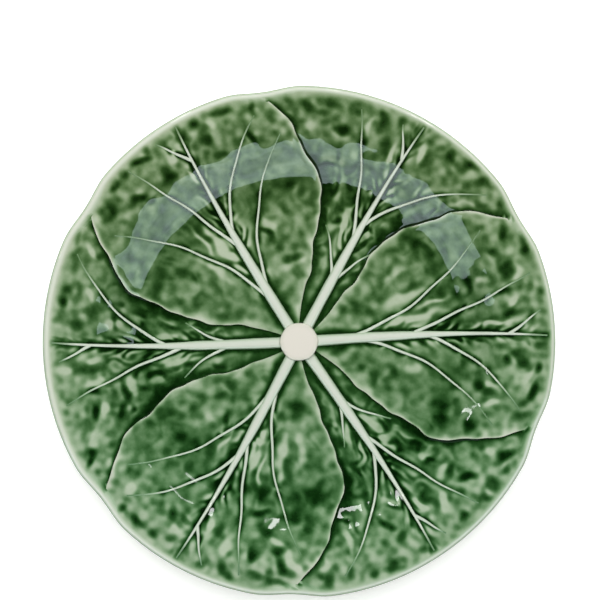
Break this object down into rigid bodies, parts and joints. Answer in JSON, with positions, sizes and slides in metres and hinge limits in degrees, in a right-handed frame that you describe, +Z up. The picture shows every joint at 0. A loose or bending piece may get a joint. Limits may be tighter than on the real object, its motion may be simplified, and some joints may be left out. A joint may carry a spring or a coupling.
{
  "type": "salad plate",
  "caption": "Round leaf-moulded salad plate: overlapping green-glazed cabbage leaves spread from a pale stalk over a shallow well, soft lobed rim, plain foot ring.",
  "frame": {"origin": "middle of the plate, on the table under the foot ring", "axes": "+Z up through the middle of the well; +X along the midrib that points to the right in the picture, 2 degrees off; +Y towards the top of the picture"},
  "size_m": [0.2, 0.1995, 0.0203],
  "materials": {
    "clay_glaze": "clear glossy glaze over cream earthenware",
    "bare_clay": "unglazed, wiped",
    "leaf_glaze": "glossy green glaze, dark where it pools and pale where it runs thin",
    "pale_glaze": "glossy cream glaze wiped off the raised ribs"
  },
  "bodies": {
    "root": {"plate_body": "clay_glaze", "foot_ring": "bare_clay", "cut_stalk": "pale_glaze", "leaf_1_blade": "leaf_glaze", "leaf_2_blade": "leaf_glaze", "leaf_3_blade": "leaf_glaze", "leaf_4_blade": "leaf_glaze", "leaf_5_blade": "leaf_glaze", "leaf_6_blade": "leaf_glaze", "leaf_1_veins": "pale_glaze", "leaf_2_veins": "pale_glaze", "leaf_3_veins": "pale_glaze", "leaf_4_veins": "pale_glaze", "leaf_5_veins": "pale_glaze", "leaf_6_veins": "pale_glaze"}
  },
  "joints": []
}
